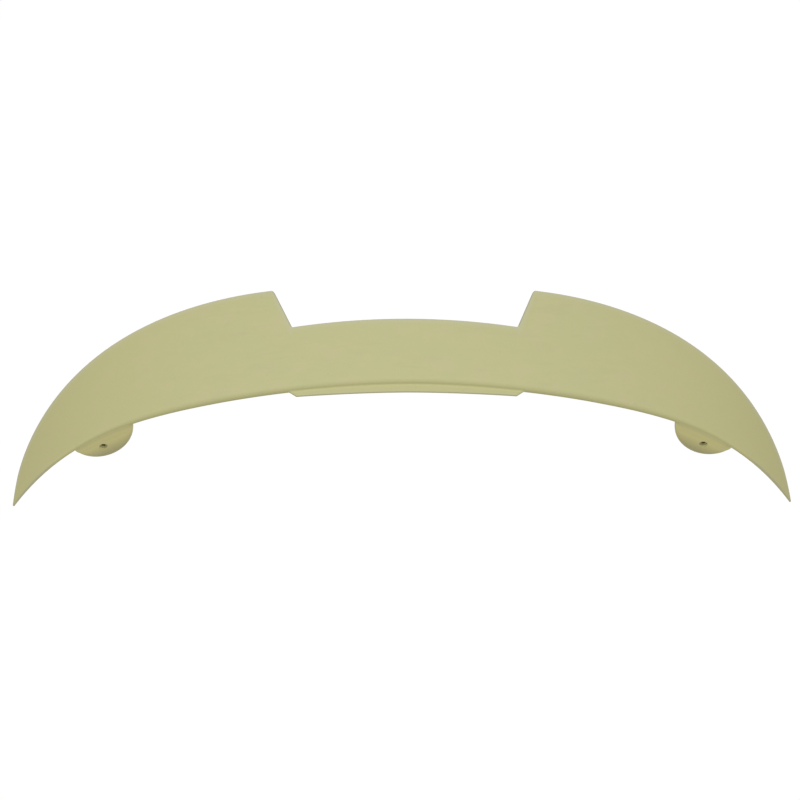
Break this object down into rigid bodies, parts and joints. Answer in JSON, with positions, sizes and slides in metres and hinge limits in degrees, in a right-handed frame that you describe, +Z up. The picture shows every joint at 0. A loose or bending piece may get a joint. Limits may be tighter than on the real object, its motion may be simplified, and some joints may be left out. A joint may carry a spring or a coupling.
{
  "type": "roof spoiler",
  "caption": "One-piece moulded rear roof spoiler for a hatchback: a crescent blade with a notched trailing edge, a middle lip and two screw feet under its nose.",
  "frame": {"origin": "middle of the line between the two screw holes, in the plane of their front seats", "axes": "+X across the car, +Y to the rear of the car, +Z up, as the part is carried on the car"},
  "size_m": [1.228, 0.3199, 0.1661],
  "materials": {
    "foam_skin": "matte, unpainted polyurethane mould skin"
  },
  "bodies": {
    "root": {"spoiler": "foam_skin"}
  },
  "joints": []
}
